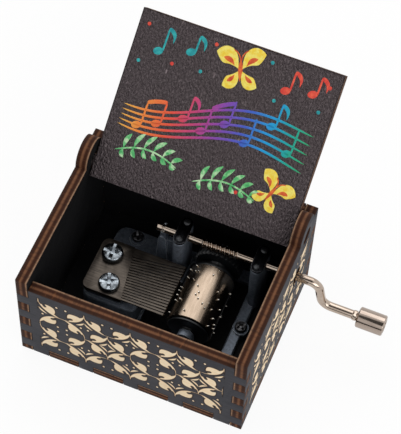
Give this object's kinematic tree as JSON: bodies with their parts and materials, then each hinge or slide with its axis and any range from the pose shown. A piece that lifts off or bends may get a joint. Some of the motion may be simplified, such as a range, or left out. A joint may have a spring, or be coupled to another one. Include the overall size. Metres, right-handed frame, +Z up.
{
  "type": "hand crank music box",
  "caption": "Finger-jointed wooden case with a pivoting lid over a comb and pinned drum, which a worm on the bent crank turns.",
  "frame": {"origin": "centre of the case's underside", "axes": "+Z up, +X to the side that the crank comes out of, -Y to the front, so +Y to the lid's hinge side"},
  "size_m": [0.09, 0.0773, 0.0626],
  "materials": {
    "painted_plywood": "matt dark paint on plywood, laser-cut brown edges, engraved scrolls on the front and right faces",
    "printed_lid": "matt dark plywood with a colour print on the inner face",
    "cast_frame": "blackened die casting, satin",
    "comb_steel": "dark oiled spring steel",
    "bright_screw": "bright plated steel",
    "black_screw": "black oxide steel",
    "black_cap": "black satin",
    "rivet_steel": "dark burnished steel",
    "crank_steel": "polished nickel-plated steel wire",
    "knob_metal": "polished nickel plate",
    "drum_metal": "nickel-plated brass, warm silver",
    "black_plastic": "satin black moulding",
    "axle_steel": "ground steel"
  },
  "bodies": {
    "case": {"front_panel": "painted_plywood", "back_panel": "painted_plywood", "left_panel": "painted_plywood", "right_panel": "painted_plywood", "bottom_panel": "painted_plywood", "movement_frame": "cast_frame", "comb": "comb_steel", "comb_screw_front": "bright_screw", "comb_screw_rear": "bright_screw", "frame_screw_left": "black_screw", "frame_screw_right": "black_screw", "bearing_cap_left": "black_cap", "bearing_cap_right": "black_cap", "cap_rivet_left_front": "rivet_steel", "cap_rivet_left_rear": "rivet_steel", "cap_rivet_right_front": "rivet_steel", "cap_rivet_right_rear": "rivet_steel"},
    "lid": {"lid": "printed_lid"},
    "crank": {"crank_shaft": "crank_steel", "shaft_clip": "bright_screw"},
    "knob": {"crank_knob": "knob_metal"},
    "drum": {"music_drum": "drum_metal", "drum_front_cap": "black_plastic", "worm_wheel": "black_plastic", "drum_axle": "axle_steel"}
  },
  "joints": [
    {"name": "lid_hinge", "type": "hinge", "parent": "case", "child": "lid", "pos_m": [0, 0.0172, 0.03485], "axis": [1, 0, 0], "range_deg": [0, 141.7]},
    {"name": "crank_turn", "type": "hinge", "parent": "case", "child": "crank", "pos_m": [0, 0.012, 0.0219], "axis": [1, 0, 0], "continuous": true},
    {"name": "knob_spin", "type": "hinge", "parent": "crank", "child": "knob", "pos_m": [0.0542, 0.01192, 0.0129], "axis": [1, 0, 0], "continuous": true},
    {"name": "drum_turn", "type": "hinge", "parent": "case", "child": "drum", "pos_m": [0.0102, 0, 0.01403], "axis": [0, 1, 0], "continuous": true}
  ],
  "couplings": [
    {"joint": "drum_turn", "follows": "crank_turn", "ratio": -0.0625}
  ]
}
